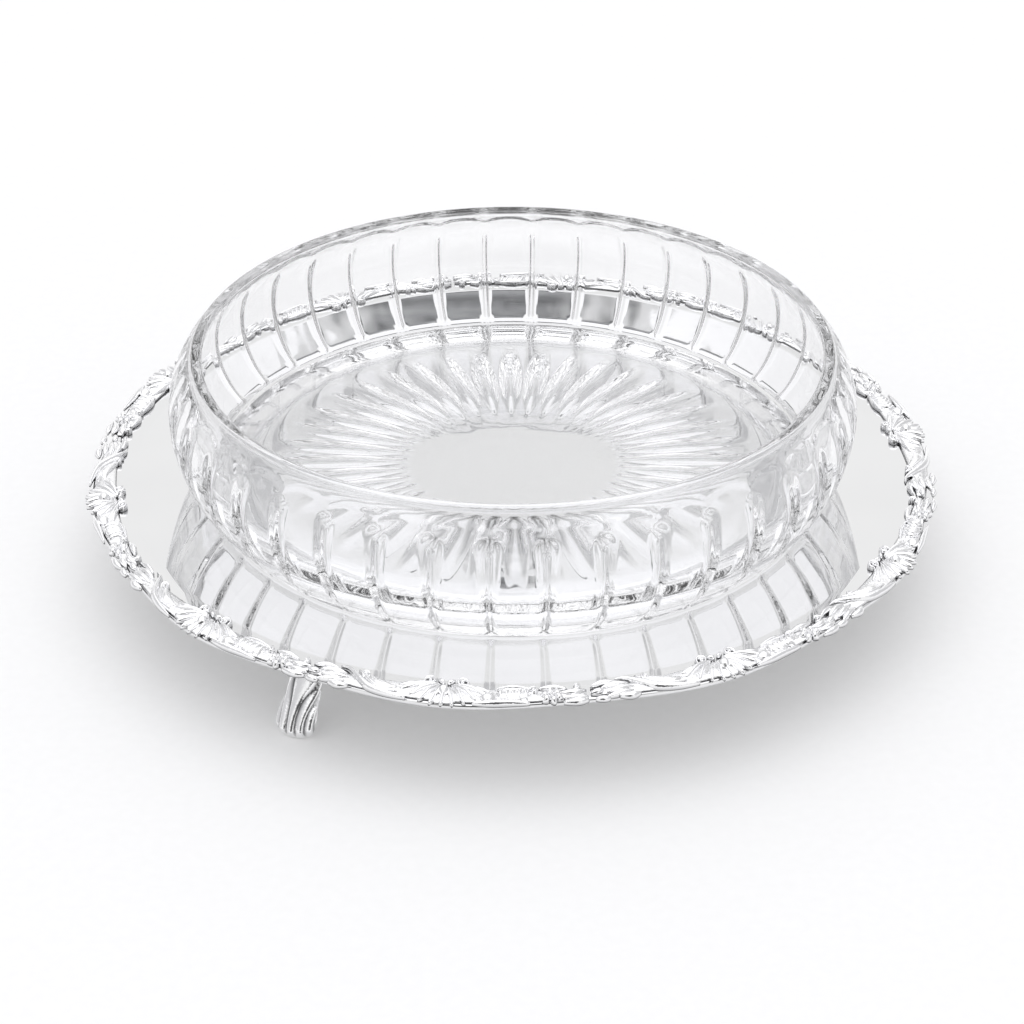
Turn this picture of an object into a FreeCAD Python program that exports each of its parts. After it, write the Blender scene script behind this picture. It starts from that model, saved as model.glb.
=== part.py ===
import FreeCAD, Part
import math
import os

# Footed round serving tray carrying a loose pressed-glass bowl.
# Millimetres. +Z is up and -Y is the front. The origin is on the surface that the
# feet stand on, below the centre of the tray.

Vector = FreeCAD.Vector
UP = Vector(0, 0, 1)
CENTRE = Vector(0, 0, 0)

# ---- driving dimensions -------------------------------------------------------
FOOT_HEIGHT = 34.4            # floor to the underside of the tray
SHEET = 1.6                   # thickness of the tray's sheet
TRAY_RADIUS = 165.4           # mean radius of the tray's edge
LOBE_HEIGHT = 1.4             # how far the edge swings in and out of the mean radius
LOBES = 10                    # lobes of the edge, one border casting to each
FIRST_LOBE = -8.5             # degrees from the front, positive towards +X

BOWL_RADIUS = 134.0           # widest radius of the glass, at the bulge
BOWL_HEIGHT = 56.8            # foot ring to the top of the rim
RIM_RADIUS = 124.6            # outer radius at the rim
HEEL_RADIUS = 121.6           # outer radius just above the foot ring
PANELS = 40                   # panels round the wall, one flute between each two

FEET = 3
FIRST_FOOT = -32.0            # degrees from the front, positive towards +X

# ---- tray ----------------------------------------------------------------------
FLAT_RADIUS = 146.0           # the mirror-flat middle of the tray
FLANGE_RADIUS = 151.0         # where the raised flange under the border begins
FLANGE_RISE = 1.2             # the flange lies this much above the flat
EDGE_ROLL = 1.3               # radius of the rolled edge
TRAY_TOP = FOOT_HEIGHT + SHEET
FLANGE_TOP = TRAY_TOP + FLANGE_RISE

# ---- border casting --------------------------------------------------------------
BAND_INNER = 153.5            # inner radius of the casting's base band
BAND_OUTER = 164.4            # outer radius of the casting's base band
BAND_THICKNESS = 1.2
SHELL_RIBS = 7
SHELL_HINGE_RADIUS = 151.2    # the point that the shell's ribs fan out from
SHELL_LENGTH = 14.6           # length of the middle rib
SHELL_SPREAD = 62.0           # degrees from the middle rib to the outermost
SHELL_ROOT_WIDTH = 1.8        # a shell rib's width at the hinge
SHELL_TIP_WIDTH = 3.2
SHELL_CROWN = 1.5             # rise of the middle rib's tip
RELIEF = 0.3                  # how far the scrolls' and leaves' centrelines stand off the band
SCROLLS = ((8.7, 4.1), (15.0, 3.0))   # degrees from the shell, and the C's centreline radius
SCROLL_WIRE = 1.25            # radius of the scroll's section
SCROLL_SWEEP = 250.0          # degrees that a scroll turns through
SCROLL_OPEN = 20.0            # half of the gap between the scroll's start and straight out
CENTRE_LINE = 158.6           # radius that scrolls and leaves are placed on
LEAF_ROOT = 10.8              # degrees from the shell to the root of the leaf blades
# radius at the root, radius at the tip, and degrees from the shell to the tip
LEAF_BLADES = ((157.5, 155.6, 14.2), (158.7, 159.2, 17.2), (160.1, 163.0, 15.8))
LEAF_ROOT_WIDTH = 2.7
LEAF_TIP_WIDTH = 1.6

# ---- foot ------------------------------------------------------------------------
FOOT_TOP_RADIUS = 137.0       # where the foot's top is fixed, from the tray's centre
FOOT_LOBES = 9                # flutes round the leg
FLUTE_DEPTH = 0.085           # as a fraction of the section's half width
# height fraction, outward travel, half depth (radial), half width (tangential)
FOOT_SECTIONS = (
    (1.00, 0.0, 7.5, 9.5),
    (0.93, 0.6, 4.6, 7.0),
    (0.80, 2.6, 3.4, 5.2),
    (0.60, 5.4, 3.0, 4.9),
    (0.40, 8.6, 3.3, 5.6),
    (0.22, 12.0, 4.3, 6.7),
    (0.10, 13.6, 4.9, 7.2),
    (0.03, 13.8, 4.3, 6.6),
    (0.00, 13.4, 3.2, 5.4),
)

# ---- bowl ------------------------------------------------------------------------
BULGE_HEIGHT = 33.0           # widest point, above the foot ring
HEEL_HEIGHT = 2.6             # where the wall's curve begins
RIM_THICKNESS = 4.6
RIM_START = BOWL_HEIGHT - RIM_THICKNESS / 2   # where the wall ends and the rim's round begins
WALL_THICKNESS = 5.6          # at the bulge
FLOOR_TOP = 7.0               # inside floor, above the foot ring
INSIDE_CORNER = 109.0         # radius where the flat inside floor ends
FOOT_RING_INNER = 109.0
FOOT_RING_OUTER = 119.6
RECESS = 1.0                  # the underside inside the foot ring is this much higher
FLUTE_RADIUS = 1.9            # radius of the cutter that makes a wall flute
FLUTE_BITE = 1.1              # depth of a wall flute
FLUTE_TOP = 46.5              # upper end of the wall flutes
FLUTE_BOTTOM = 4.6
RAY_INNER = 40.0              # the rays of the underside run between these radii
RAY_OUTER = 106.0
RAY_DEPTH = 1.4
RAY_FILL = 0.9                # a ray's width as a fraction of its share of the circle


def from_front(degrees):
    """Angle about +Z from +X, for an angle counted from the front towards +X."""
    return degrees - 90.0


def polar(radius, degrees, z):
    angle = math.radians(from_front(degrees))
    return Vector(radius * math.cos(angle), radius * math.sin(angle), z)


def arc_through(centre_r, centre_z, start, end):
    """Arc in the XZ plane about a centre, bulging outwards, between two (r, z) points."""
    radius = math.hypot(start[0] - centre_r, start[1] - centre_z)
    first = math.atan2(start[1] - centre_z, start[0] - centre_r)
    last = math.atan2(end[1] - centre_z, end[0] - centre_r)
    middle = (first + last) / 2
    mid = Vector(centre_r + radius * math.cos(middle), 0, centre_z + radius * math.sin(middle))
    return Part.Arc(Vector(start[0], 0, start[1]), mid, Vector(end[0], 0, end[1])).toShape()


def line(start, end):
    return Part.LineSegment(Vector(start[0], 0, start[1]), Vector(end[0], 0, end[1])).toShape()


def turned(edges, degrees=360.0, first=0.0):
    """Solid swept by a closed profile in the XZ plane turning about Z."""
    face = Part.Face(Part.Wire(edges))
    face.rotate(CENTRE, UP, first)
    return face.revolve(CENTRE, UP, degrees)


def closed_profile(points):
    return [line(a, b) for a, b in zip(points, points[1:] + points[:1])]


# ---- tray plate --------------------------------------------------------------------
def lobed_outline(mean_radius, z):
    """The tray's edge: a circle that swings out once under each border casting."""
    steps = LOBES * 8
    points = []
    for step in range(steps):
        degrees = 360.0 * step / steps
        swing = math.cos(math.radians(LOBES * (degrees - FIRST_LOBE)))
        points.append(polar(mean_radius + LOBE_HEIGHT * swing, degrees, z))
    curve = Part.BSplineCurve()
    curve.interpolate(points, PeriodicFlag=True)
    return Part.Wire(curve.toShape())


def tray_plate():
    """One pressed sheet: flat mirror, a small step up, and a flange with a rolled edge."""
    beyond = TRAY_RADIUS + 3 * LOBE_HEIGHT
    roll_start = TRAY_RADIUS - 2 * EDGE_ROLL
    roll_bottom = FLANGE_TOP - 2 * EDGE_ROLL
    profile = [
        (0, FOOT_HEIGHT),
        (FLAT_RADIUS, FOOT_HEIGHT),
        (FLANGE_RADIUS, FOOT_HEIGHT + FLANGE_RISE),
        (roll_start, FOOT_HEIGHT + FLANGE_RISE),
        (roll_start, roll_bottom),
        (beyond, roll_bottom),
        (beyond, FLANGE_TOP),
        (FLANGE_RADIUS, FLANGE_TOP),
        (FLAT_RADIUS, TRAY_TOP),
        (0, TRAY_TOP),
    ]
    sheet = turned(closed_profile(profile))
    outline = Part.Face(lobed_outline(TRAY_RADIUS, FOOT_HEIGHT - SHEET))
    plate = sheet.common(outline.extrude(UP * 4 * SHEET))
    edges = []
    for edge in plate.Edges:
        box = edge.BoundBox
        around = box.XLength > TRAY_RADIUS and box.ZLength < 0.01
        if around and box.XMax > TRAY_RADIUS - LOBE_HEIGHT:
            edges.append(edge)
    return plate.makeFillet(0.8 * EDGE_ROLL, edges)


# ---- border castings ---------------------------------------------------------------
def rib(start, end, start_radius, end_radius):
    """A tapered rib with rounded ends, turned about its own axis in one piece."""
    direction = end - start
    length = direction.Length
    slope = math.asin((start_radius - end_radius) / length)
    outline = []
    for along, radius, pole in ((0.0, start_radius, math.pi), (length, end_radius, 0.0)):
        tangent = math.pi / 2 - slope
        middle = (tangent + pole) / 2
        outline.append([(along + radius * math.cos(a), radius * math.sin(a)) for a in (pole, middle, tangent)])
    near, far = outline
    start_arc = Part.Arc(*[Vector(x, 0, z) for x, z in near]).toShape()
    end_arc = Part.Arc(*[Vector(x, 0, z) for x, z in reversed(far)]).toShape()
    edges = [start_arc, line(near[-1], far[-1]), end_arc, line(far[0], near[0])]
    solid = Part.Face(Part.Wire(edges)).revolve(CENTRE, Vector(1, 0, 0), 360.0)
    solid.Placement = FreeCAD.Placement(start, FreeCAD.Rotation(Vector(1, 0, 0), direction))
    return solid


def shell():
    """A fan of ribs that opens towards the tray's edge, at the front."""
    pieces = []
    low = FLANGE_TOP + BAND_THICKNESS
    for index in range(SHELL_RIBS):
        share = 2.0 * index / (SHELL_RIBS - 1) - 1.0
        lean = math.radians(from_front(SHELL_SPREAD * share))
        length = SHELL_LENGTH * (1.0 - 0.34 * share * share)
        hinge = polar(SHELL_HINGE_RADIUS, 0.5 * share, low)
        tip = hinge + Vector(math.cos(lean), math.sin(lean), 0) * length
        tip.z = low + SHELL_CROWN * (1.0 - 0.6 * share * share)
        pieces.append(rib(hinge, tip, SHELL_ROOT_WIDTH / 2, SHELL_TIP_WIDTH / 2))
    return pieces


def scroll(side, place, radius):
    """A C-scroll lying on the band: an arc of round section with a ball in each curl."""
    middle = polar(CENTRE_LINE, side * place, FLANGE_TOP + BAND_THICKNESS + RELIEF)
    outward = Vector(middle.x, middle.y, 0).normalize()
    section_centre = middle + outward * radius
    tangent = Vector(-outward.y, outward.x, 0)
    section = Part.Face(Part.Wire(Part.makeCircle(SCROLL_WIRE, section_centre, tangent)))
    start = SCROLL_OPEN if side > 0 else -SCROLL_SWEEP - SCROLL_OPEN
    section.rotate(middle, UP, start)
    swept = section.revolve(middle, UP, SCROLL_SWEEP)
    pieces = [swept]
    for turn in (start, start + SCROLL_SWEEP):
        angle = math.radians(turn)
        end = outward * math.cos(angle) + tangent * math.sin(angle)
        pieces.append(Part.makeSphere(1.25 * SCROLL_WIRE, middle + end * radius))
    return pieces


def leaf(side):
    """Three leaf blades that run from a scroll to the joint with the next casting."""
    pieces = []
    low = FLANGE_TOP + BAND_THICKNESS
    for root_radius, tip_radius, tip_place in LEAF_BLADES:
        root = polar(root_radius, side * LEAF_ROOT, low + RELIEF)
        tip = polar(tip_radius, side * tip_place, low + RELIEF)
        pieces.append(rib(root, tip, LEAF_ROOT_WIDTH / 2, LEAF_TIP_WIDTH / 2))
    return pieces


def border_casting():
    """One casting, lying on the flange at the front."""
    half_span = 180.0 / LOBES
    band_profile = [
        (BAND_INNER, FLANGE_TOP),
        (BAND_OUTER, FLANGE_TOP),
        (BAND_OUTER, FLANGE_TOP + BAND_THICKNESS),
        (BAND_INNER, FLANGE_TOP + BAND_THICKNESS),
    ]
    first = from_front(0.0) - half_span
    band = turned(closed_profile(band_profile), 2 * half_span, first)
    pieces = shell()
    for side in (-1, 1):
        for scroll_place, radius in SCROLLS:
            pieces += scroll(side, scroll_place, radius)
        pieces += leaf(side)
    casting = band.multiFuse(pieces)
    under_flange = Part.makeCylinder(2 * TRAY_RADIUS, FLANGE_TOP)
    return casting.cut(under_flange).removeSplitter()


# ---- feet --------------------------------------------------------------------------
def foot_section(height, travel, depth, width):
    """A fluted oval at one height of a leg that stands on the +X side."""
    steps = 8 * FOOT_LOBES
    points = []
    for step in range(steps):
        angle = 2 * math.pi * step / steps
        swell = 1.0 + FLUTE_DEPTH * math.cos(FOOT_LOBES * angle)
        x = FOOT_TOP_RADIUS + travel + depth * swell * math.cos(angle)
        points.append(Vector(x, width * swell * math.sin(angle), height))
    curve = Part.BSplineCurve()
    curve.interpolate(points, PeriodicFlag=True)
    return Part.Wire(curve.toShape())


def foot():
    """One leg, standing at the front."""
    wires = []
    for fraction, travel, depth, width in FOOT_SECTIONS:
        wires.append(foot_section(fraction * FOOT_HEIGHT, travel, depth, width))
    leg = Part.makeLoft(wires, True)
    leg.rotate(CENTRE, UP, from_front(0.0))
    return leg


# ---- bowl --------------------------------------------------------------------------
def bulge_centre(radius, through):
    """(r, z) centre of the arc that is upright at the bulge and passes a given point."""
    inset = radius - through[0]
    rise = through[1] - BULGE_HEIGHT
    arc_radius = (inset * inset + rise * rise) / (2 * inset)
    return radius - arc_radius, BULGE_HEIGHT


HEEL = (HEEL_RADIUS, HEEL_HEIGHT)
SHOULDER = (RIM_RADIUS, RIM_START)
LOWER_ARC = bulge_centre(BOWL_RADIUS, HEEL)
UPPER_ARC = bulge_centre(BOWL_RADIUS, SHOULDER)


def bowl_blank():
    """The plain turned form of the bowl, standing on z = 0."""
    bulge = (BOWL_RADIUS, BULGE_HEIGHT)
    inner_radius = BOWL_RADIUS - WALL_THICKNESS
    inner_bulge = (inner_radius, BULGE_HEIGHT)
    inner_rim = (RIM_RADIUS - RIM_THICKNESS, RIM_START)
    inner_foot = (INSIDE_CORNER, FLOOR_TOP)
    inner_top_arc = bulge_centre(inner_radius, inner_rim)
    inner_low_arc = bulge_centre(inner_radius, inner_foot)
    half_rim = RIM_THICKNESS / 2
    rim_centre = (RIM_RADIUS - half_rim, RIM_START)
    edges = [
        line((0, RECESS), (FOOT_RING_INNER, RECESS)),
        line((FOOT_RING_INNER, RECESS), (FOOT_RING_INNER + RECESS, 0)),
        line((FOOT_RING_INNER + RECESS, 0), (FOOT_RING_OUTER, 0)),
        line((FOOT_RING_OUTER, 0), HEEL),
        arc_through(*LOWER_ARC, HEEL, bulge),
        arc_through(*UPPER_ARC, bulge, SHOULDER),
        arc_through(*rim_centre, SHOULDER, inner_rim),
        arc_through(*inner_top_arc, inner_rim, inner_bulge),
        arc_through(*inner_low_arc, inner_bulge, inner_foot),
        line(inner_foot, (0, FLOOR_TOP)),
        line((0, FLOOR_TOP), (0, RECESS)),
    ]
    return turned(edges)


def flute_cutter():
    """Follows the wall on the +X side: two arcs of a round cutter and a ball at each end."""
    reach = FLUTE_RADIUS - FLUTE_BITE
    pieces = []
    for centre, limit in ((LOWER_ARC, FLUTE_BOTTOM), (UPPER_ARC, FLUTE_TOP)):
        arm = BOWL_RADIUS - centre[0] + reach
        pivot = Vector(centre[0], 0, centre[1])
        section_centre = pivot + Vector(arm, 0, 0)
        section = Part.Face(Part.Wire(Part.makeCircle(FLUTE_RADIUS, section_centre, UP)))
        swing = math.degrees(math.asin((limit - BULGE_HEIGHT) / arm))
        pieces.append(section.revolve(pivot, Vector(0, -1, 0), swing))
        end = pivot + Vector(arm * math.cos(math.radians(swing)), 0, limit - BULGE_HEIGHT)
        pieces.append(Part.makeSphere(FLUTE_RADIUS, end))
    return pieces[0].multiFuse(pieces[1:])


def ray_cutter():
    """A cone lying under the floor on the +X side, biting the same depth all along."""
    ends = []
    for radius in (RAY_INNER, RAY_OUTER):
        half_width = RAY_FILL * math.pi * radius / PANELS
        cutter_radius = (half_width ** 2 + RAY_DEPTH ** 2) / (2 * RAY_DEPTH)
        axis_point = Vector(radius, 0, RECESS + RAY_DEPTH - cutter_radius)
        ends.append((cutter_radius, axis_point))
    (inner_radius, inner_point), (outer_radius, outer_point) = ends
    axis = outer_point - inner_point
    return Part.makeCone(inner_radius, outer_radius, axis.Length, inner_point, axis)


def glass_bowl():
    """Blank with a flute between each two wall panels and a ray under each panel."""
    cutters = []
    pitch = 360.0 / PANELS
    # The front shows the middle of a panel, so a ray lies there and a flute half a step on.
    for cutter, start in ((flute_cutter(), pitch / 2), (ray_cutter(), 0.0)):
        for index in range(PANELS):
            copy = cutter.copy()
            copy.rotate(CENTRE, UP, from_front(start + index * pitch))
            cutters.append(copy)
    bowl = bowl_blank().cut(cutters)
    bowl.translate(UP * TRAY_TOP)
    return bowl


# ---- export ------------------------------------------------------------------------
def export(name, shape):
    if shape.ShapeType != "Solid" and len(shape.Solids) == 1:
        shape = shape.Solids[0]
    print(name, "valid", shape.isValid(), "solids", len(shape.Solids), "volume", round(shape.Volume))
    shape.exportStep(os.path.join("parts", name + ".step"))


def export_ring(name_pattern, shape, count, first_place):
    """Export equal copies of a piece that stands at the front, evenly spaced round the tray."""
    for number in range(count):
        copy = shape.copy()
        copy.rotate(CENTRE, UP, first_place + number * 360.0 / count)
        export(name_pattern % (number + 1), copy)


os.makedirs("parts", exist_ok=True)
export("tray_plate", tray_plate())
export_ring("border_casting_%02d", border_casting(), LOBES, FIRST_LOBE)
export_ring("foot_%d", foot(), FEET, FIRST_FOOT)
export("glass_bowl", glass_bowl())
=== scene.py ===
import math

import bpy
import numpy as np
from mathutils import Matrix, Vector


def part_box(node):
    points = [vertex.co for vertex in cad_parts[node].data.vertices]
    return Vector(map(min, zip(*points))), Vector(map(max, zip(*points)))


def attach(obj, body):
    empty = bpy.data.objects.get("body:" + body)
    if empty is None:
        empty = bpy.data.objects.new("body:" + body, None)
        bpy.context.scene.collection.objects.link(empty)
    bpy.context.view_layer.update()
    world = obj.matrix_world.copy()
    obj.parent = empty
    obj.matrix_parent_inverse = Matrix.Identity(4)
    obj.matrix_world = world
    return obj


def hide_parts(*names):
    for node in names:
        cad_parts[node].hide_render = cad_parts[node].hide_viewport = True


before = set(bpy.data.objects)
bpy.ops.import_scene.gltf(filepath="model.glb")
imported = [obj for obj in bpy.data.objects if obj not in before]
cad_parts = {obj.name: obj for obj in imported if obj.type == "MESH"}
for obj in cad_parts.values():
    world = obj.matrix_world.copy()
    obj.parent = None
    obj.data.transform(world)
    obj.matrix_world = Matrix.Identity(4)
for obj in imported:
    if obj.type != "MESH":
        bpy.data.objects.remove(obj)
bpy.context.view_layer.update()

# Lengths are in metres, except in the tables and strokes that say mm. Places come from the frame;
# azimuths count from the front (-Y) towards +X. Shapes that the frame doesn't hold are named here.
MM = 0.001

# ---- the frame's own measures -----------------------------------------------------
bowl_low, bowl_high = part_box("glass_bowl")
plate_low, plate_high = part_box("tray_plate")
casting_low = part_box("border_casting_01")[0]
foot_low, foot_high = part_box("foot_1")
CASTINGS = sorted(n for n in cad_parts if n.startswith("border_casting"))
FEET = sorted(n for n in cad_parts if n.startswith("foot_"))

MIRROR_Z = bowl_low.z                       # the tray's polished face, which the bowl stands on
FLANGE_Z = casting_low.z                    # the raised flange under the castings
SHEET_Z = foot_high.z                       # underside of the tray
BOWL_R = (bowl_high.x - bowl_low.x) / 2     # the glass at its bulge
BOWL_H = bowl_high.z - bowl_low.z
FOOT_H = foot_high.z - foot_low.z
LOBE = 1.4 * MM                             # swing of the tray's lobed edge
EDGE_R = (plate_high.y - plate_low.y) / 2 - LOBE


def node_azimuth(name):
    """Azimuth of a node's middle, in degrees from the front."""
    low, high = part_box(name)
    middle = (low + high) / 2
    return math.degrees(math.atan2(middle.x, -middle.y))


def smooth(t):
    """Ease from 0 to 1."""
    t = np.clip(t, 0.0, 1.0)
    return t * t * (3 - 2 * t)


# ---- mesh helpers --------------------------------------------------------------------
def new_object(name, verts, faces, mat, patina_and_shade=None):
    """A smooth-shaded piece. The last argument, if given, is how deep in a crevice each vertex lies, which
    darkens it with patina and painted shade.
    """
    mesh = bpy.data.meshes.new(name)
    mesh.from_pydata(np.asarray(verts).tolist(), [], faces)
    mesh.update()
    mesh.polygons.foreach_set("use_smooth", [True] * len(mesh.polygons))
    mesh.materials.append(mat)
    # patina and painted shade: a per-vertex share that darkens the cast silver in its crevices
    if patina_and_shade is not None:
        layer = mesh.attributes.new("patina_and_shade", "FLOAT", "POINT")
        layer.data.foreach_set("value", np.asarray(patina_and_shade, float))
    piece = bpy.data.objects.new(name, mesh)
    bpy.context.scene.collection.objects.link(piece)
    return piece


def tube_faces(rows, cols, base=0):
    """Faces of a grid closed round its columns, with a fan over each end row's own middle."""
    faces = []
    start, end = base + rows * cols, base + rows * cols + 1
    for col in range(cols):
        after = (col + 1) % cols
        faces.append((start, base + after, base + col))
        faces.append((end, base + (rows - 1) * cols + col, base + (rows - 1) * cols + after))
        for row in range(rows - 1):
            a, b = base + row * cols, base + (row + 1) * cols
            faces.append((a + col, a + after, b + after, b + col))
    return faces


def tube_verts(grid):
    """A grid's points in rows, then the middles of its first and last rows."""
    flat = grid.reshape(-1, 3)
    return np.vstack([flat, grid[0].mean(0), grid[-1].mean(0)])


def turned(radii, heights, azimuth, flip=False):
    """Grid of a turned body, whose radii and heights may vary along each row. flip turns its faces."""
    grid = np.zeros((len(radii), len(azimuth), 3))
    for row, (radius, height) in enumerate(zip(radii, heights)):
        grid[row, :, 0] = radius * np.sin(azimuth)
        grid[row, :, 1] = -radius * np.cos(azimuth)
        grid[row, :, 2] = height
    return grid[:, ::-1] if flip else grid


# ---- materials -------------------------------------------------------------------------
MIX_A, MIX_B, MIX_RESULT = 6, 7, 2     # a mix node's colour sockets
NOISE_MIDDLE = (0.3, 0.7)              # where nearly all of a noise's values lie
UNIT = (0.0, 1.0)


def material(name):
    """A new material, with its nodes, links and shader."""
    mat = bpy.data.materials.new(name)
    mat.use_nodes = True
    nodes = mat.node_tree.nodes
    return mat, nodes, mat.node_tree.links, nodes["Principled BSDF"]


def noise(nodes, links, scale, detail, stretch=(1, 1, 1)):
    """Noise in the object's own metres, drawn out along an axis if stretched."""
    coords = nodes.new("ShaderNodeTexCoord")
    mapping = nodes.new("ShaderNodeMapping")
    mapping.inputs["Scale"].default_value = stretch
    links.new(coords.outputs["Object"], mapping.inputs["Vector"])
    texture = nodes.new("ShaderNodeTexNoise")
    texture.inputs["Scale"].default_value = scale
    texture.inputs["Detail"].default_value = detail
    links.new(mapping.outputs["Vector"], texture.inputs["Vector"])
    return texture.outputs["Fac"]


def remap(nodes, links, value, source, target, eased=False):
    """Map a value's source range to a target range, linearly or eased."""
    span = nodes.new("ShaderNodeMapRange")
    span.interpolation_type = "SMOOTHSTEP" if eased else "LINEAR"
    for socket, number in zip(("From Min", "From Max", "To Min", "To Max"), (*source, *target)):
        span.inputs[socket].default_value = number
    links.new(value, span.inputs["Value"])
    return span.outputs["Result"]


def ramp(nodes, links, value, low, high, ends=(0.0, 1.0)):
    """Colour that runs from low to high between two ends of a value."""
    node = nodes.new("ShaderNodeValToRGB")
    for element, place, colour in zip(node.color_ramp.elements, ends, (low, high)):
        element.position = place
        element.color = (*colour, 1)
    links.new(value, node.inputs["Fac"])
    return node.outputs["Color"]


def blend(nodes, links, share, colour, other):
    """A colour that gives way to another, constant one as share goes from 0 to 1."""
    mix = nodes.new("ShaderNodeMix")
    mix.data_type = "RGBA"
    links.new(share, mix.inputs["Factor"])
    links.new(colour, mix.inputs[MIX_A])
    mix.inputs[MIX_B].default_value = (*other, 1)
    return mix.outputs[MIX_RESULT]


def bumped(nodes, links, shader, height, distance):
    """Let a value raise the shader's surface by up to a distance."""
    bump = nodes.new("ShaderNodeBump")
    bump.inputs["Distance"].default_value = distance
    links.new(height, bump.inputs["Height"])
    links.new(bump.outputs["Normal"], shader.inputs["Normal"])


def glass_material():
    """Heavy clear glass, with faint flow marks from the press."""
    mat, nodes, links, shader = material("clear_glass")
    shader.inputs["Base Color"].default_value = (0.95, 0.951, 0.954, 1)
    shader.inputs["Transmission Weight"].default_value = 1.0
    shader.inputs["Roughness"].default_value = 0.0
    shader.inputs["IOR"].default_value = 1.52
    flow = noise(nodes, links, 42.0, 1.5, (1.0, 1.0, 0.6))
    bumped(nodes, links, shader, flow, 0.25 * MM)
    return mat


def mirror_material():
    """Polished silver plate: fine wiping marks and a faint unevenness of the sheet."""
    mat, nodes, links, shader = material("silver_mirror")
    shader.inputs["Metallic"].default_value = 1.0
    wipes = noise(nodes, links, 160.0, 6.0, (0.25, 2.0, 1.0))
    links.new(remap(nodes, links, wipes, NOISE_MIDDLE, (0.015, 0.045)), shader.inputs["Roughness"])
    clouds = remap(nodes, links, noise(nodes, links, 14.0, 3.0), NOISE_MIDDLE, UNIT)
    colour = ramp(nodes, links, clouds, (0.80, 0.801, 0.805), (0.84, 0.841, 0.845))
    links.new(colour, shader.inputs["Base Color"])
    bumped(nodes, links, shader, noise(nodes, links, 9.0, 0.0), 0.10 * MM)
    return mat


def cast_material():
    """Cast silver: bright on its crests, and dark in its crevices and undercuts: patina where polishing
    cloths don't reach, and painted shade.
    """
    mat, nodes, links, shader = material("silver_cast")
    shader.inputs["Metallic"].default_value = 1.0
    depth = nodes.new("ShaderNodeAttribute")
    depth.attribute_name = "patina_and_shade"
    # painted shade and patina: the crevice share turns the bright silver nearly black
    colour = ramp(nodes, links, depth.outputs["Fac"], (0.93, 0.93, 0.935), (0.06, 0.06, 0.065), (0.15, 0.95))
    links.new(colour, shader.inputs["Base Color"])
    rough = remap(nodes, links, depth.outputs["Fac"], UNIT, (0.045, 0.3))
    links.new(rough, shader.inputs["Roughness"])
    bumped(nodes, links, shader, noise(nodes, links, 900.0, 2.0), 0.10 * MM)
    return mat


GLASS = glass_material()
MIRROR = mirror_material()
CAST = cast_material()


# ---- bowl ---------------------------------------------------------------------------------
PANELS = 40
COLUMNS_PER_PANEL = 28
COLUMN_EVEN = 0.4             # share of the columns' spacing that is even; the rest crowds at the flutes
COLUMN_PACKING = 2.2
MIDDLE_R = 4.0 * MM           # radius of the row nearest to the middle
RIM_R = 124.6 * MM
RIM_T = 4.6 * MM
RIM_EDGE = 1.3 * MM           # rounding of the rim's two edges
RIM_CROWN = 0.12 * MM
HEEL_R = 121.6 * MM
HEEL_Z = 2.6 * MM
BULGE_Z = 33.0 * MM
WALL_T = 5.6 * MM
FLOOR_T = 7.0 * MM
CORNER_R = 109.0 * MM
CORNER_EASE = 1.6 * MM        # half width of the rounding between wall and floor
CORNER_SLOPE = 0.075          # a quarter of the wall's slope there
RECESS = 1.0 * MM             # height of the underside inside the foot ring
RING_FADE = 99.5 * MM         # the recess runs out softly to the foot ring ...
RING_IN = 110.0 * MM          # ... which starts here
RING_LAND = 111.3 * MM
RING_OUT = 119.6 * MM
RAY_IN = 40.0 * MM
RAY_OUT = 97.0 * MM
RAY_DEPTH = 2.1 * MM
RAY_SWELL = 0.35              # share of a ray's length over which it grows ...
RAY_RUN_OUT = 0.6             # ... and over which it dies away
RAY_TIP_WIDTH = 0.45          # share of a panel's width that a ray has at its tips ...
RAY_MORE_WIDTH = 0.5          # ... and what it has more in its middle
FLUTE_TOP = 48.0 * MM
FLUTE_BOTTOM = 1.2 * MM
FLUTE_TAPER = 1.2             # power by which the hollow widens upwards
FLUTE_RUN_OUT = 2.4 * MM      # height over which a flute grows from the heel
GROOVE_WIDTH = 1.2 * MM       # half width of the steep groove
GROOVE_DEPTH = 0.9 * MM
GROOVE_ROUND = 0.35           # fullness of its sides
GROOVE_START = 1.6            # below the flute's top, in half widths of the hollow
HOLLOW_WIDE = 4.7 * MM        # half width of the shallow hollow round it, at its top ...
HOLLOW_NARROW = 1.5 * MM      # ... and at its foot
HOLLOW_DEPTH = 0.85 * MM
HOLLOW_LOW = 6.0 * MM         # the hollow is half as deep below this height
HOLLOW_RISE = 12.0 * MM
PANEL_RAISE = 0.45 * MM       # of the panels above the plain neck and heel
PANEL_TOP = 51.6 * MM         # height of the arch over each panel
PANEL_ARCH = 2.6 * MM
NECK_STEP = 1.0 * MM
NECK_END = 54.0 * MM          # from here the neck comes back out to the rim
NECK_BLEND = 1.4 * MM
PANEL_FOOT = 1.8 * MM         # the panels end in round bottoms above the plain heel
PANEL_FOOT_ARCH = 2.6 * MM
HEEL_STEP = 0.8 * MM
HEEL_BLEND = 0.6 * MM
BOWL_TURN = math.radians(0.8)   # the loose bowl stands a little turned
STAND_OFF = 0.03 * MM         # keeps the glass's foot ring and the mirror from sharing a plane


def wall_arc(bulge_r, through, steps):
    """Arc (r, z) from the bulge, where it is upright, to a given point."""
    inset = bulge_r - through[0]
    rise = through[1] - BULGE_Z
    big = (inset * inset + rise * rise) / (2 * inset)
    angles = np.linspace(0, math.asin(rise / big), steps)
    return [(bulge_r - big + big * math.cos(a), BULGE_Z + big * math.sin(a)) for a in angles]


def under_outline():
    """The underside: a plain disc, then the zone of the rays."""
    disc = np.linspace(MIDDLE_R, RAY_IN, 6)
    rays = np.linspace(RAY_IN, RAY_OUT, 34)[1:]
    return [(r, RECESS) for r in (*disc, *rays)]


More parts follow.
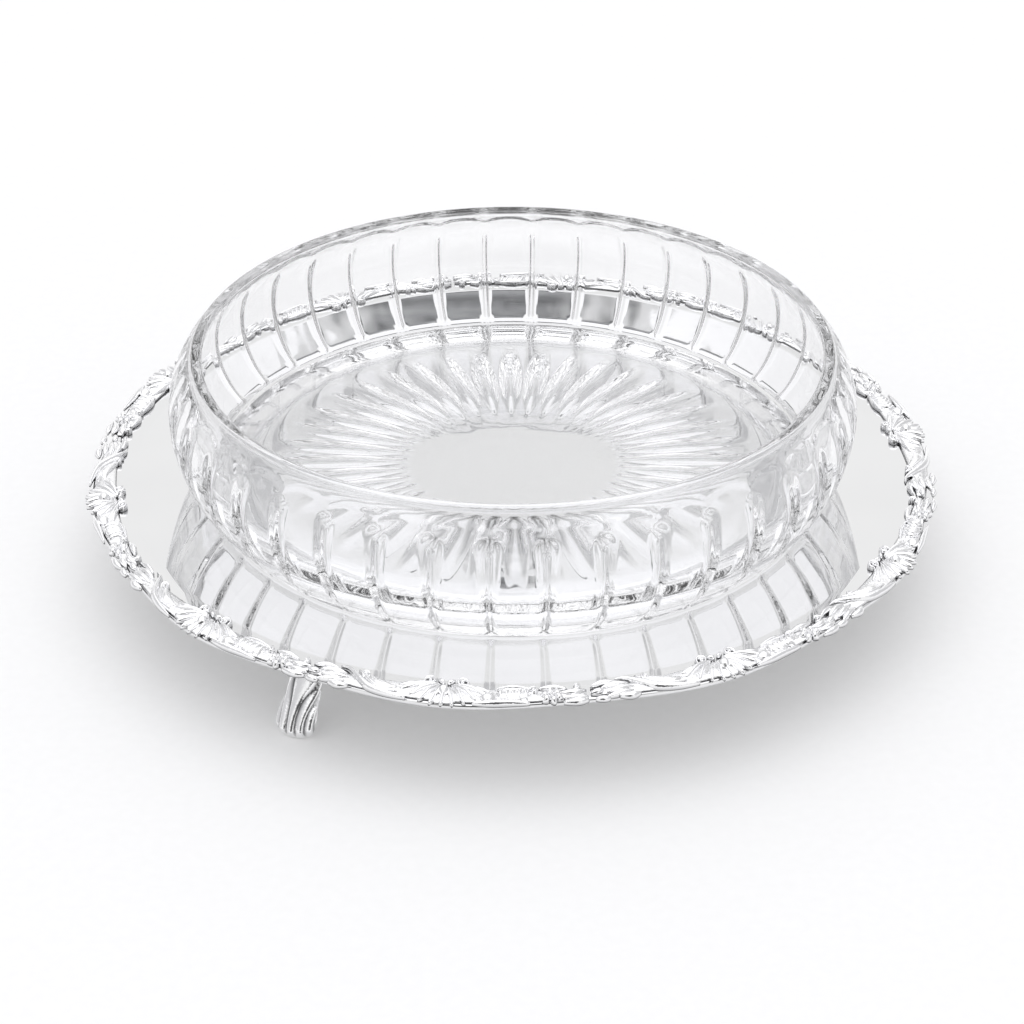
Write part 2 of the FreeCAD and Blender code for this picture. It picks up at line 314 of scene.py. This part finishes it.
def ring_outline():
    """The foot ring, from the recess's soft run-out to the rounded outer edge."""
    fall = np.linspace(RING_FADE, RING_IN, 8)
    inner = [(r, RECESS * (1 - smooth((r - RING_FADE) / (RING_IN - RING_FADE)))) for r in fall]
    edge = [(RING_OUT + out * MM, up * MM) for out, up in ((-0.8, 0.0), (0.4, 0.25), (1.2, 1.1))]
    return inner + [(RING_LAND, 0.0)] + edge


def wall_outline():
    """The outside of the wall, from the heel to the rim."""
    lower = wall_arc(BOWL_R, (HEEL_R, HEEL_Z), 24)[::-1]
    upper = wall_arc(BOWL_R, (RIM_R, BOWL_H - RIM_EDGE), 24)[1:]
    return lower + upper


def rim_outline():
    """The rim's two rounded edges and the crown between them."""
    arc = np.linspace(0.12, math.pi / 2, 6)
    edge = [(RIM_EDGE * (1 - math.cos(a)), BOWL_H - RIM_EDGE + RIM_EDGE * math.sin(a)) for a in arc]
    outer = [(RIM_R - inset, z) for inset, z in edge]
    inner = [(RIM_R - RIM_T + inset, z) for inset, z in edge[::-1]]
    return outer + [(RIM_R - RIM_T / 2, BOWL_H + RIM_CROWN)] + inner


def inside_outline():
    """The inside of the wall, the eased corner, and the floor to its middle."""
    bulge_r = BOWL_R - WALL_T
    upper = wall_arc(bulge_r, (RIM_R - RIM_T, BOWL_H - RIM_EDGE), 14)[::-1]
    lower = [p for p in wall_arc(bulge_r, (CORNER_R, FLOOR_T), 18)[1:] if p[0] > CORNER_R + CORNER_EASE]
    corner = [(CORNER_R + CORNER_EASE * t, FLOOR_T + CORNER_SLOPE * CORNER_EASE * (1 + t) ** 2)
              for t in np.linspace(1, -1, 7)[1:]]
    floor = [(r, FLOOR_T) for r in np.linspace(CORNER_R - CORNER_EASE, MIDDLE_R, 10)[1:]]
    return upper + lower + corner + floor


def panel_columns():
    """Azimuths of the bowl's columns, and each one's angle from its flute, in radians."""
    t = (np.arange(COLUMNS_PER_PANEL) + 0.5) / COLUMNS_PER_PANEL * 2 - 1
    half = math.pi / PANELS
    packed = half * (COLUMN_EVEN * t + (1 - COLUMN_EVEN) * np.sign(t) * np.abs(t) ** COLUMN_PACKING)
    flutes = np.arange(PANELS) * 2 * half + half
    return (flutes[:, None] + packed).reshape(-1), np.tile(packed, PANELS)


def from_flute(offset):
    """An angle from the flute as a share of the way to the panel's middle."""
    return np.abs(offset) * PANELS / math.pi


def flute_depth(offset, radius, height):
    """A steep groove in a shallow hollow, with a round upper end, that narrows downwards."""
    side = np.abs(offset) * radius
    share = np.clip((height - FLUTE_BOTTOM) / (FLUTE_TOP - FLUTE_BOTTOM), 0, 1) ** FLUTE_TAPER
    wide = HOLLOW_NARROW + (HOLLOW_WIDE - HOLLOW_NARROW) * share
    over_hollow = max(0.0, height - (FLUTE_TOP - wide))
    hollow = np.clip(1 - (np.hypot(side, over_hollow) / wide) ** 2, 0, 1)
    hollow = hollow * (1 + smooth((height - HOLLOW_LOW) / HOLLOW_RISE)) / 2
    over_groove = max(0.0, height - (FLUTE_TOP - GROOVE_START * wide))
    groove = np.clip(1 - np.hypot(side, over_groove) / GROOVE_WIDTH, 0, 1)
    groove = groove * (1 + GROOVE_ROUND * (1 - groove))
    run_out = smooth((height - FLUTE_BOTTOM) / FLUTE_RUN_OUT)
    return run_out * (HOLLOW_DEPTH * hollow + GROOVE_DEPTH * groove)


def neck_depth(offset, height):
    """The plain neck between the arched tops of the panels and the rim is a little sunken."""
    arch = PANEL_TOP - PANEL_ARCH * (1 - from_flute(offset)) ** 2
    rim_blend = 1 - smooth((height - NECK_END) / NECK_BLEND)
    return PANEL_RAISE * smooth((height - arch) / NECK_STEP) * rim_blend


def heel_depth(offset, height):
    """Below the round bottoms of the panels the heel is a little sunken too."""
    arch = PANEL_FOOT + PANEL_FOOT_ARCH * (1 - from_flute(offset)) ** 3
    return PANEL_RAISE * smooth((arch - height) / HEEL_STEP) * smooth(height / HEEL_BLEND)


def ray_height(offset, radius):
    """Spindle shaped rays, hollowed into the underside, one towards each panel."""
    share = (radius - RAY_IN) / (RAY_OUT - RAY_IN)
    spindle = smooth(share / RAY_SWELL) * smooth((1 - share) / RAY_RUN_OUT)
    width = RAY_TIP_WIDTH + RAY_MORE_WIDTH * spindle
    ray = np.clip(1 - ((1 - from_flute(offset)) / width) ** 2, 0, 1)
    return RAY_DEPTH * spindle * ray


def build_bowl():
    """The pressed glass bowl: one turned skin with flutes, panels and rays worked into it."""
    azimuth, offset = panel_columns()
    radii, heights = [], []
    for radius, height in under_outline():
        radii.append(np.full(len(azimuth), radius))
        heights.append(height + ray_height(offset, radius))
    for radius, height in ring_outline():
        radii.append(np.full(len(azimuth), radius))
        heights.append(np.full(len(azimuth), height))
    for radius, height in wall_outline():
        sunken = np.maximum(flute_depth(offset, radius, height), heel_depth(offset, height))
        radii.append(radius - sunken - neck_depth(offset, height))
        heights.append(np.full(len(azimuth), height))
    for radius, height in rim_outline() + inside_outline():
        radii.append(np.full(len(azimuth), radius))
        heights.append(np.full(len(azimuth), height))
    grid = turned(radii, np.array(heights) + MIRROR_Z + STAND_OFF, azimuth + BOWL_TURN)
    rows, cols, _ = grid.shape
    bowl = new_object("bowl", tube_verts(grid), tube_faces(rows, cols), GLASS)
    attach(bowl, "bowl")
    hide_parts("glass_bowl")


# ---- tray plate ---------------------------------------------------------------------------
ROLL = 1.3 * MM               # radius of the rolled edge ...
ROLL_FROM = math.radians(95)  # ... and where its arc starts and ends
ROLL_TO = math.radians(-140)
DISH_START = 122.0 * MM
FLANGE_START = 151.0 * MM
PLATE_COLUMNS = 720
FLAT_RADII = (4.0, 40.0, 80.0, 105.0, 118.0)            # rows of the mesh, in mm
FLANGE_RADII = (152.5, 155.0, 158.0, 161.0)
UNDERSIDE_RADII = (160.0, 151.0, 140.0, 122.0, 80.0, 4.0)
LOBES = len(CASTINGS)
FIRST_LOBE = math.radians(node_azimuth(CASTINGS[0]))


def edge_radius(azimuth):
    """The tray's edge swings out once under each casting."""
    return EDGE_R + LOBE * np.cos(LOBES * (azimuth - FIRST_LOBE))


def dish(radius):
    """Height of the polished face: flat under the bowl, then rising a little to the flange."""
    share = np.clip((radius - DISH_START) / (FLANGE_START - DISH_START), 0, 1)
    return MIRROR_Z + (FLANGE_Z - MIRROR_Z) * share * share


def build_plate():
    """The tray: one sheet with a flat mirror, a dished rise, a flange and a rolled edge."""
    azimuth = np.linspace(0, 2 * math.pi, PLATE_COLUMNS, endpoint=False)
    round_row = np.ones(len(azimuth))
    rise = np.linspace(DISH_START, FLANGE_START, 30)
    top = [*np.multiply(FLAT_RADII, MM), *rise, *np.multiply(FLANGE_RADII, MM)]
    radii = [round_row * r for r in top]
    heights = [round_row * dish(r) for r in top]
    for angle in np.linspace(ROLL_FROM, ROLL_TO, 16):
        radii.append(edge_radius(azimuth) - ROLL + ROLL * math.cos(angle))
        heights.append(round_row * (FLANGE_Z - ROLL + ROLL * math.sin(angle)))
    for r in np.multiply(UNDERSIDE_RADII, MM):
        radii.append(round_row * r)
        heights.append(round_row * (dish(r) - (MIRROR_Z - SHEET_Z)))
    grid = turned(radii, heights, azimuth, flip=True)
    rows, cols, _ = grid.shape
    plate = new_object("tray", tube_verts(grid), tube_faces(rows, cols), MIRROR)
    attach(plate, "tray")
    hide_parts("tray_plate")


# ---- border ornament ------------------------------------------------------------------------
ORNAMENT_R = 160.0 * MM       # the radius that lengths along the border are measured on
ORNAMENT_LIFT = 0.5 * MM      # of a stroke's middle line over the flange
RINGS = 12                    # rows along a stroke ...
SIDES = 10                    # ... and points round it
THINNEST = 0.2                # mm
TIP_ANGLE = 0.12              # where on a half sine, in radians, a stroke's rounded ends start
TIP_ROUND = 0.55
TIP_HEIGHT = 0.45             # share of its height that a stroke keeps towards its ends
UNDER_HALF = 0.45             # a stroke's height below its middle line, as a share of that above
GROOVE_SPREAD = 0.35          # share of a stroke's half width that its groove takes
CREVICE_FROM = 0.45           # share of its height below which a stroke is darkened with patina and painted shade
# patina and painted shade at the middle of each of a stroke's rounded ends
TIP_PATINA_AND_SHADE = 0.4


def catmull(points, steps):
    """Smooth curve through the given rows of numbers."""
    points = np.asarray(points, float)
    if len(points) == 2:
        points = np.vstack([points[0], points.mean(0), points[1]])
    padded = np.vstack([2 * points[0] - points[1], points, 2 * points[-1] - points[-2]])
    spans = len(points) - 1
    out = []
    for place in np.linspace(0, spans, steps):
        n = min(int(place), spans - 1)
        t = place - n
        a, b, c, d = padded[n:n + 4]
        out.append(0.5 * (2 * b + (c - a) * t + (2 * a - 5 * b + 4 * c - d) * t * t
                          + (3 * b - a - 3 * c + d) * t ** 3))
    return np.array(out)


class Relief:
    """Gathers the strokes of one casting. A stroke's points are (along, radius, width, height), in mm."""

    def __init__(self, azimuth):
        self.azimuth = math.radians(azimuth)
        self.verts, self.faces, self.patina_and_shade = [], [], []
        self.count = 0

    def place(self, along, radius):
        """(x, y) of points at a length along the border and a radius."""
        angle = self.azimuth + along * MM / ORNAMENT_R
        return np.stack([radius * MM * np.sin(angle), -radius * MM * np.cos(angle)], -1)

    def stroke(self, points, groove=0.0, rings=RINGS):
        """A rounded, tapering bar along a smooth curve, with a groove along its crest if asked for."""
        curve = catmull(points, rings)
        centre = self.place(curve[:, 0], curve[:, 1])
        tangent = np.gradient(centre, axis=0)
        tangent /= np.linalg.norm(tangent, axis=1)[:, None]
        side = np.stack([-tangent[:, 1], tangent[:, 0]], -1)
        ends = np.sin(np.linspace(TIP_ANGLE, math.pi - TIP_ANGLE, rings)) ** TIP_ROUND
        width = np.maximum(curve[:, 2], THINNEST) * MM / 2 * ends
        height = np.maximum(curve[:, 3], THINNEST) * MM * (TIP_HEIGHT + (1 - TIP_HEIGHT) * ends)
        angle = np.arange(SIDES) * 2 * math.pi / SIDES
        across, up = np.cos(angle), np.sin(angle)
        grooved = up * (1 - groove * np.exp(-(across / GROOVE_SPREAD) ** 2))
        section = np.where(up > 0, grooved, up * UNDER_HALF)
        grid = np.zeros((rings, SIDES, 3))
        grid[:, :, :2] = centre[:, None] + side[:, None] * (width[:, None] * across)[:, :, None]
        grid[:, :, 2] = FLANGE_Z + ORNAMENT_LIFT + height[:, None] * section
        # painted shade, with patina: each stroke darkens below its middle line, on its underside and in the
        # undercuts at its foot
        crevice = np.clip((CREVICE_FROM - up) / (2 * CREVICE_FROM), 0, 1)
        self.patina_and_shade += np.tile(crevice, rings).tolist() + [TIP_PATINA_AND_SHADE] * 2
        self.faces += tube_faces(rings, SIDES, self.count)
        self.verts.append(tube_verts(grid))
        self.count += rings * SIDES + 2

    def mirrored(self, points):
        """A stroke on each side of the casting's middle."""
        self.stroke(points)
        self.stroke([(-along, *rest) for along, *rest in points])

    def curl(self, along, radius, size, start, sweep, width, height):
        """A C-scroll that narrows inwards, with a ball in its eye."""
        points = []
        for share in np.linspace(0, 1, 7):
            angle = math.radians(start + sweep * share)
            reach = size * (1 - 0.45 * share)
            points.append((along + reach * math.cos(angle), radius + reach * math.sin(angle),
                           width * (1 - 0.3 * share), height))
        self.stroke(points, rings=18)
        ball = (radius, 0.9 * size, 1.05 * height)
        self.stroke([(along - 0.3 * size, *ball), (along + 0.3 * size, *ball)])


def shell(relief):
    """Fan of ribs over the tray's edge, with a bead at its heart and a curl at each side of the hinge."""
    relief.stroke([(0, 156.2, 7.0, 0.9), (0, 161, 15.0, 1.0), (0, 166.6, 15.0, 0.8)])
    relief.stroke([(0, 157.2, 1.6, 2.2), (0, 163, 2.2, 2.7), (0, 168.2, 2.8, 1.9)])
    for tip_s, tip_r, mid_s, mid_r in ((3.9, 168.0, 2.6, 162.6), (7.9, 166.6, 5.3, 161.2),
                                       (11.6, 164.2, 7.6, 159.6), (15.6, 161.4, 9.2, 157.6)):
        start = (0.9 + 0.12 * tip_s, 157.0 - 0.10 * tip_s)
        relief.mirrored([(*start, 1.1, 1.6), (mid_s, mid_r, 1.9, 2.5), (tip_s, tip_r, 2.7, 1.9)])
    relief.stroke([(0, 158.6, 3.6, 3.6), (0, 161.0, 5.0, 4.1), (0, 163.6, 3.4, 3.4)])
    for side in (-1, 1):
        relief.curl(side * 5.9, 154.9, 2.3, 90 - side * 60, -side * 290, 1.5, 2.4)
        relief.stroke([(side * 0.5, 155.2, 2.0, 2.2), (side * 3.2, 153.6, 1.6, 2.0)])
        relief.stroke([(side * 8.2, 156.2, 1.6, 1.9), (side * 12.2, 158.2, 2.4, 2.3),
                       (side * 16.6, 159.2, 1.6, 1.7)])


def blossom(relief, along, radius):
    """Six grooved petals round a bead."""
    for petal in range(6):
        angle = math.radians(60 * petal + 20)
        out, up = math.cos(angle), math.sin(angle)
        relief.stroke([(along + out, radius + up, 1.6, 2.6),
                       (along + 2.7 * out, radius + 2.5 * up, 2.6, 2.9),
                       (along + 4.3 * out, radius + 3.9 * up, 1.7, 1.9)], groove=0.25)
    relief.stroke([(along - 0.6, radius, 2.0, 3.6), (along + 0.6, radius, 2.0, 3.6)])


def base_band(relief):
    """The flat band that carries a casting's strokes, from one solder seam to the next."""
    half_span = math.pi / LOBES * ORNAMENT_R / MM
    end = half_span - 0.2
    relief.stroke([(-end, 160.4, 8.6, 0.75), (0, 160.6, 9.4, 0.75), (end, 160.4, 8.6, 0.75)], rings=60)


def ribbon_side(relief):
    """From the shell towards smaller azimuths: a ribbon that sweeps inwards, with leaves beside it."""
    relief.stroke([(-12.5, 166.4, 2.4, 2.0), (-19.5, 165.4, 2.8, 2.4), (-26.5, 163.4, 2.8, 2.6),
                   (-31.5, 159.6, 2.6, 2.6), (-36.6, 155.4, 2.0, 2.0), (-40.5, 154.8, 1.4, 1.6)], rings=24)
    relief.stroke([(-16.0, 163.6, 1.2, 2.0), (-23.5, 162.6, 1.5, 2.2), (-28.6, 159.0, 1.5, 2.2),
                   (-33.0, 155.0, 1.6, 2.0)], rings=20)
    relief.stroke([(-16.5, 160.8, 3.0, 1.8), (-21.5, 161.0, 4.6, 2.5), (-26.5, 158.4, 3.2, 2.2),
                   (-29.6, 156.4, 2.2, 1.9)], groove=0.4)
    relief.curl(-29.3, 156.9, 1.9, 60, 280, 1.2, 2.3)
    relief.stroke([(-33.5, 164.9, 2.6, 1.8), (-37.0, 165.7, 3.0, 2.1), (-41.0, 165.3, 2.0, 1.8)])
    relief.stroke([(-35.5, 162.9, 1.8, 2.1), (-40.5, 163.5, 2.6, 2.5), (-45.5, 164.9, 2.0, 2.0)], groove=0.35)
    relief.stroke([(-35.0, 160.6, 1.6, 2.1), (-40.0, 160.8, 2.8, 2.7), (-45.0, 162.2, 2.2, 2.3)], groove=0.35)
    relief.stroke([(-36.5, 158.4, 1.6, 2.1), (-41.5, 158.0, 2.8, 2.6), (-46.5, 159.4, 2.0, 2.2)], groove=0.35)
    relief.stroke([(-40.5, 156.4, 1.8, 1.9), (-45.5, 156.4, 2.2, 2.2), (-50.0, 157.8, 1.6, 1.8)])
    relief.stroke([(-44.5, 165.9, 2.8, 1.9), (-49.5, 165.4, 2.2, 1.8)])
    relief.stroke([(-46.0, 161.0, 3.0, 2.7), (-50.5, 161.6, 2.2, 2.3)], groove=0.3)


def leaf_side(relief):
    """From the shell towards greater azimuths: a dome, a reeded oval, a blossom and leaves."""
    relief.stroke([(12.8, 162.6, 4.4, 2.3), (15.6, 162.9, 5.4, 2.8), (18.8, 162.4, 3.4, 2.1)])
    relief.stroke([(10.5, 166.2, 2.0, 1.8), (16.5, 165.9, 2.4, 2.2), (23.0, 165.5, 2.2, 2.2),
                   (30.0, 165.6, 2.2, 1.9)], rings=20)
    relief.stroke([(18.4, 159.9, 5.6, 1.5), (24.2, 160.4, 7.4, 1.9), (30.4, 160.4, 5.2, 1.5)])
    for step in range(5):
        along = 19.8 + 2.2 * step
        relief.stroke([(along + 1.6, 157.4, 1.2, 1.7), (along, 160.4, 2.0, 2.6),
                       (along + 0.8, 163.6, 1.2, 1.9)], rings=8)
    relief.stroke([(18.0, 157.2, 1.4, 1.8), (24.0, 156.4, 1.6, 2.1), (30.5, 157.0, 1.4, 1.8)], rings=16)
    relief.curl(31.4, 158.6, 1.7, 200, 280, 1.2, 2.4)
    blossom(relief, 37.8, 162.2)
    relief.stroke([(33.4, 156.9, 1.8, 1.9), (38.6, 156.6, 2.6, 2.3), (43.6, 157.6, 1.8, 1.9)], groove=0.35)
    relief.stroke([(41.5, 165.9, 2.2, 2.0), (46.5, 166.0, 2.6, 2.0), (50.2, 165.5, 1.8, 1.7)])
    relief.stroke([(42.0, 163.2, 1.8, 2.2), (46.6, 163.4, 2.6, 2.5), (50.4, 163.6, 1.8, 2.0)], groove=0.35)
    relief.stroke([(41.0, 160.0, 1.8, 2.2), (45.6, 160.4, 2.8, 2.6), (50.2, 159.4, 1.8, 2.0)], groove=0.35)
    relief.curl(46.6, 157.6, 1.8, 150, -280, 1.2, 2.3)


def build_border():
    """The cast mounts, one relief for each."""
    for name in CASTINGS:
        relief = Relief(node_azimuth(name))
        for motif in (base_band, shell, ribbon_side, leaf_side):
            motif(relief)
        verts = np.vstack(relief.verts)
        piece = new_object("ornament_" + name[-2:], verts, relief.faces, CAST, relief.patina_and_shade)
        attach(piece, "tray")
        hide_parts(name)


# ---- feet ------------------------------------------------------------------------------------
FOOT_TOP_R = 137.0 * MM       # where the feet meet the tray
FOOT_ROWS = 60
FOOT_COLUMNS = 126
FOOT_REEDS = 7
REED_SWELL = 0.24             # how far the reeds stand out, as a share of the foot's thickness
REED_ROUND = 0.8              # power that makes the reeds fuller and the crevices narrower
REED_MIDDLE = 0.7             # the reed height at which the foot keeps its plain thickness
REED_PHASE = 0.5
BEND, BEND_RATE, BEND_PHASE = 0.75, 6.0, 0.9    # how the reeds gather and part down the foot, in radians
TWIST, TWIST_RATE = 0.35, 5.0                   # how they wind round it
CREVICE_BELOW = 0.78          # share of a reed's height below which it is darkened with patina and painted shade
TOE_FADE = 0.09               # share of the foot's height over which the reeds run out at the toe
# share of the height, then outward travel, half depth (radial) and half width (tangential) in mm
FOOT_SECTIONS = (
    (1.02, -0.2, 9.0, 12.0), (0.97, 0.2, 7.0, 9.8), (0.90, 0.9, 5.2, 7.8), (0.80, 2.4, 4.2, 6.8),
    (0.60, 5.0, 3.8, 6.4), (0.40, 8.2, 4.0, 6.7), (0.22, 11.6, 4.8, 7.6), (0.10, 13.3, 5.4, 8.0),
    (0.035, 13.6, 4.9, 7.5), (0.008, 13.4, 3.9, 6.3), (0.0, 13.2, 2.6, 4.8),
)


def reeds(turn, share):
    """How far out the reeds stand round a section of the foot, from 0 to 1."""
    bend = BEND * math.sin(BEND_RATE * share + BEND_PHASE) * np.sin(turn)
    twist = TWIST * math.sin(TWIST_RATE * share)
    return np.abs(np.sin(FOOT_REEDS * (turn + bend + twist) / 2 + REED_PHASE)) ** REED_ROUND


def build_foot(name):
    """A cast foot that curves outwards, with reeds down its length."""
    azimuth = math.radians(node_azimuth(name))
    turn = np.linspace(0, 2 * math.pi, FOOT_COLUMNS, endpoint=False)
    grid = np.zeros((FOOT_ROWS, FOOT_COLUMNS, 3))
    crevice = np.zeros((FOOT_ROWS, FOOT_COLUMNS))
    for row, (share, travel, depth, width) in enumerate(catmull(FOOT_SECTIONS, FOOT_ROWS)):
        fade = smooth(share / TOE_FADE)
        wave = reeds(turn, share)
        swell = 1 + fade * REED_SWELL * (wave - REED_MIDDLE)
        # painted shade, with patina, in the crevices between the reeds
        crevice[row] = fade * np.clip(1 - wave / CREVICE_BELOW, 0, 1)
        radial = FOOT_TOP_R + MM * (travel + depth * swell * np.cos(turn))
        tangential = MM * width * swell * np.sin(turn)
        grid[row, :, 0] = radial * math.sin(azimuth) + tangential * math.cos(azimuth)
        grid[row, :, 1] = -radial * math.cos(azimuth) + tangential * math.sin(azimuth)
        grid[row, :, 2] = max(share, 0.0) * FOOT_H
    patina_and_shade = crevice[:, ::-1].reshape(-1).tolist() + [0.0, 0.0]
    faces = tube_faces(FOOT_ROWS, FOOT_COLUMNS)
    piece = new_object("leg_" + name[-1], tube_verts(grid[:, ::-1]), faces, CAST, patina_and_shade)
    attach(piece, "tray")
    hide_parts(name)


# ---- camera -----------------------------------------------------------------------------------
SENSOR = 36.0                 # mm
LENS = 105.46875              # mm
ELEVATION = 31.02             # degrees
DISTANCE = 1.200
TARGET = Vector((-0.28 * MM, 0, 16.7 * MM))


def place_camera():
    """The camera, in front of the object and above it, at the photo's angle."""
    data = bpy.data.cameras.new("camera")
    data.sensor_width = SENSOR
    data.lens = LENS
    data.clip_start = 0.01
    data.clip_end = 100
    camera = bpy.data.objects.new("camera", data)
    bpy.context.scene.collection.objects.link(camera)
    tilt = math.radians(ELEVATION)
    camera.location = TARGET + Vector((0, -math.cos(tilt), math.sin(tilt))) * DISTANCE
    camera.rotation_euler = (TARGET - camera.location).to_track_quat("-Z", "Y").to_euler()
    bpy.context.scene.camera = camera


# ---- floor and light ------------------------------------------------------------------------------
FLOOR_HALF = 14.0
CARD_X, CARD_Y = -0.014, 3.0
CARD_HALF = 0.078
CARD_LOW, CARD_HIGH = 2.20, 2.68
CARD_FADE = (0.025, 0.062)    # distances from the card's middle between which it pales
CARD_EDGE = (0.95, 0.95, 0.95)
# direction, inner and outer angle in degrees, and brightness; each zone lies over those before it
TENT_ZONES = (
    ((-1.0, 0.1, 0.3), 20, 60, 0.66),      # dimmer sides
    ((1.0, 0.1, 0.3), 20, 60, 0.66),
    ((-0.08, 0.0, 1.0), 5, 60, 1.65),      # the main light, overhead
    ((0.0, 0.62, 0.79), 12, 20, 1.28),     # a panel high behind the object
    ((0.0, 0.94, 0.34), 6, 9, 1.13),       # and one low behind it
    ((-0.36, 0.88, 0.50), 4, 11, 0.66),    # gaps beside the panels
    ((0.36, 0.88, 0.50), 4, 11, 0.66),
    ((0.0, -1.0, 0.30), 12, 32, 0.10),     # the open studio in front
)
TENT_BLUE = 1.02              # the zones are a little blue


def build_floor():
    """Matt white paper that glows a little: painted light, which lifts the shadows on it."""
    mat, nodes, links, shader = material("floor_white")
    grain = remap(nodes, links, noise(nodes, links, 240.0, 5.0), NOISE_MIDDLE, UNIT)
    paper = ramp(nodes, links, grain, (0.722, 0.722, 0.722), (0.738, 0.738, 0.738))
    links.new(paper, shader.inputs["Base Color"])
    # painted light: the floor's own glow lightens the shadows that the tray casts on it
    shader.inputs["Emission Color"].default_value = (1, 1, 1, 1)
    shader.inputs["Emission Strength"].default_value = 0.18
    shader.inputs["Roughness"].default_value = 0.9
    shader.inputs["Specular IOR Level"].default_value = 0.0
    corners = [(-FLOOR_HALF, -FLOOR_HALF, 0), (FLOOR_HALF, -FLOOR_HALF, 0),
               (FLOOR_HALF, FLOOR_HALF, 0), (-FLOOR_HALF, FLOOR_HALF, 0)]
    floor = new_object("floor", corners, [(0, 1, 2, 3)], mat)


def build_dark_card():
    """A dark card far behind the object, out of the picture, that shows in the tray."""
    mat, nodes, links, shader = material("card_dark")
    shader.inputs["Roughness"].default_value = 0.9
    shader.inputs["Specular IOR Level"].default_value = 0.0
    blotches = noise(nodes, links, 9.0, 2.0)
    grey = ramp(nodes, links, blotches, (0.09, 0.093, 0.10), (0.60, 0.61, 0.62), (0.40, 0.72))
    coords = nodes.new("ShaderNodeTexCoord")
    place = nodes.new("ShaderNodeSeparateXYZ")
    links.new(coords.outputs["Object"], place.inputs["Vector"])
    aside = nodes.new("ShaderNodeMath")
    aside.operation = "ABSOLUTE"
    links.new(place.outputs["X"], aside.inputs[0])
    fade = remap(nodes, links, aside.outputs["Value"], CARD_FADE, UNIT, eased=True)
    links.new(blend(nodes, links, fade, grey, CARD_EDGE), shader.inputs["Base Color"])
    corners = [(-CARD_HALF, CARD_Y, CARD_LOW), (CARD_HALF, CARD_Y, CARD_LOW),
               (CARD_HALF, CARD_Y, CARD_HIGH), (-CARD_HALF, CARD_Y, CARD_HIGH)]
    card = new_object("card", corners, [(0, 1, 2, 3)], mat)
    card.location.x = CARD_X


def light_world():
    """A white tent, with brighter and darker zones."""
    world = bpy.data.worlds.new("studio")
    bpy.context.scene.world = world
    world.use_nodes = True
    nodes, links = world.node_tree.nodes, world.node_tree.links
    coords = nodes.new("ShaderNodeTexCoord")
    white = nodes.new("ShaderNodeRGB")
    white.outputs[0].default_value = (1, 1, 1, 1)
    colour = white.outputs[0]
    for direction, inner, outer, value in TENT_ZONES:
        towards = nodes.new("ShaderNodeVectorMath")
        towards.operation = "DOT_PRODUCT"
        towards.inputs[1].default_value = Vector(direction).normalized()
        links.new(coords.outputs["Generated"], towards.inputs[0])
        edge = (math.cos(math.radians(outer)), math.cos(math.radians(inner)))
        inside = remap(nodes, links, towards.outputs["Value"], edge, UNIT, eased=True)
        colour = blend(nodes, links, inside, colour, (value, value, value * TENT_BLUE))
    links.new(colour, nodes["Background"].inputs["Color"])
    nodes["Background"].inputs["Strength"].default_value = 1.0


build_bowl()
build_plate()
build_border()
for foot_name in FEET:
    build_foot(foot_name)
place_camera()
build_floor()
build_dark_card()
light_world()
scene = bpy.context.scene
scene.view_settings.view_transform = "Standard"
scene.cycles.max_bounces = 32
scene.cycles.transmission_bounces = 32
scene.cycles.glossy_bounces = 16
